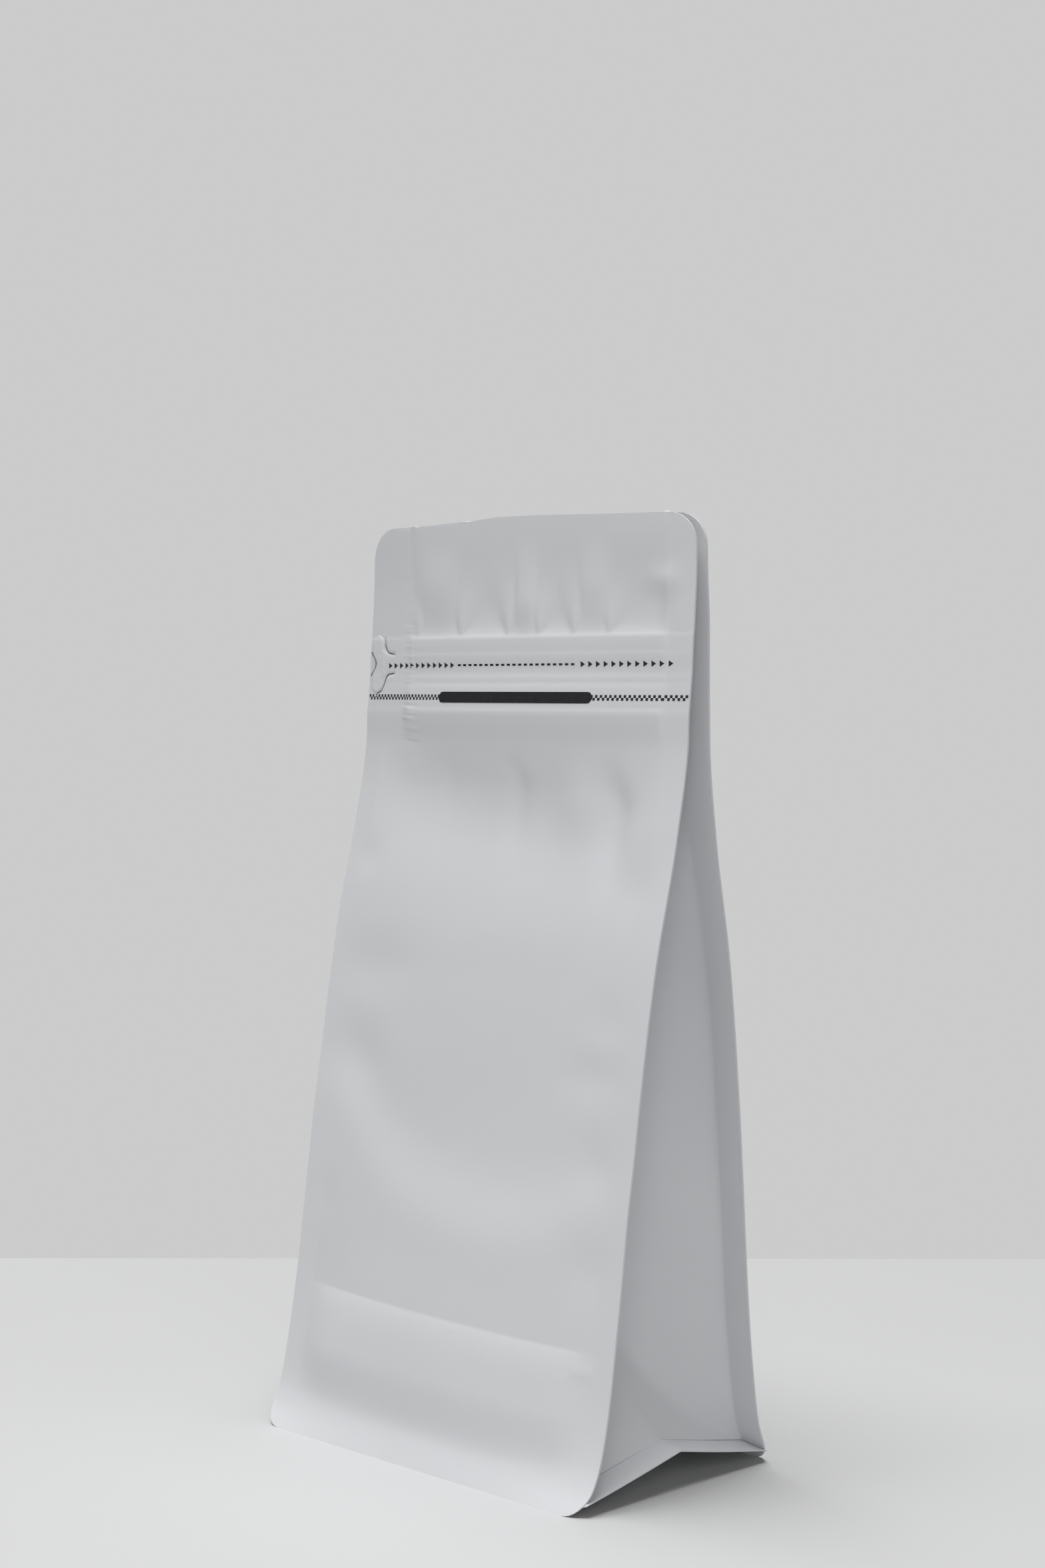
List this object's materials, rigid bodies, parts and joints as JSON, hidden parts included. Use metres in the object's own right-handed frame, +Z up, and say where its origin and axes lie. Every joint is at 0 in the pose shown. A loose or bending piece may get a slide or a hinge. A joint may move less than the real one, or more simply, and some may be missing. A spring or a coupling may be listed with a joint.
{
  "type": "coffee bag",
  "caption": "Upright flat-bottomed coffee bag of matte film with folded sides, sealed margins, a pressed tear strip with pull tab, and a reclosable band.",
  "frame": {"origin": "on the ground, under the middle of the bag's bounding box", "axes": "+X to the right along the front panel, +Y from the front panel to the back panel, +Z up"},
  "size_m": [0.13, 0.078, 0.2649],
  "materials": {
    "film": "soft matte laminated film",
    "ink": "flat black print on the closure"
  },
  "bodies": {
    "root": {"bag": "film"}
  },
  "joints": []
}
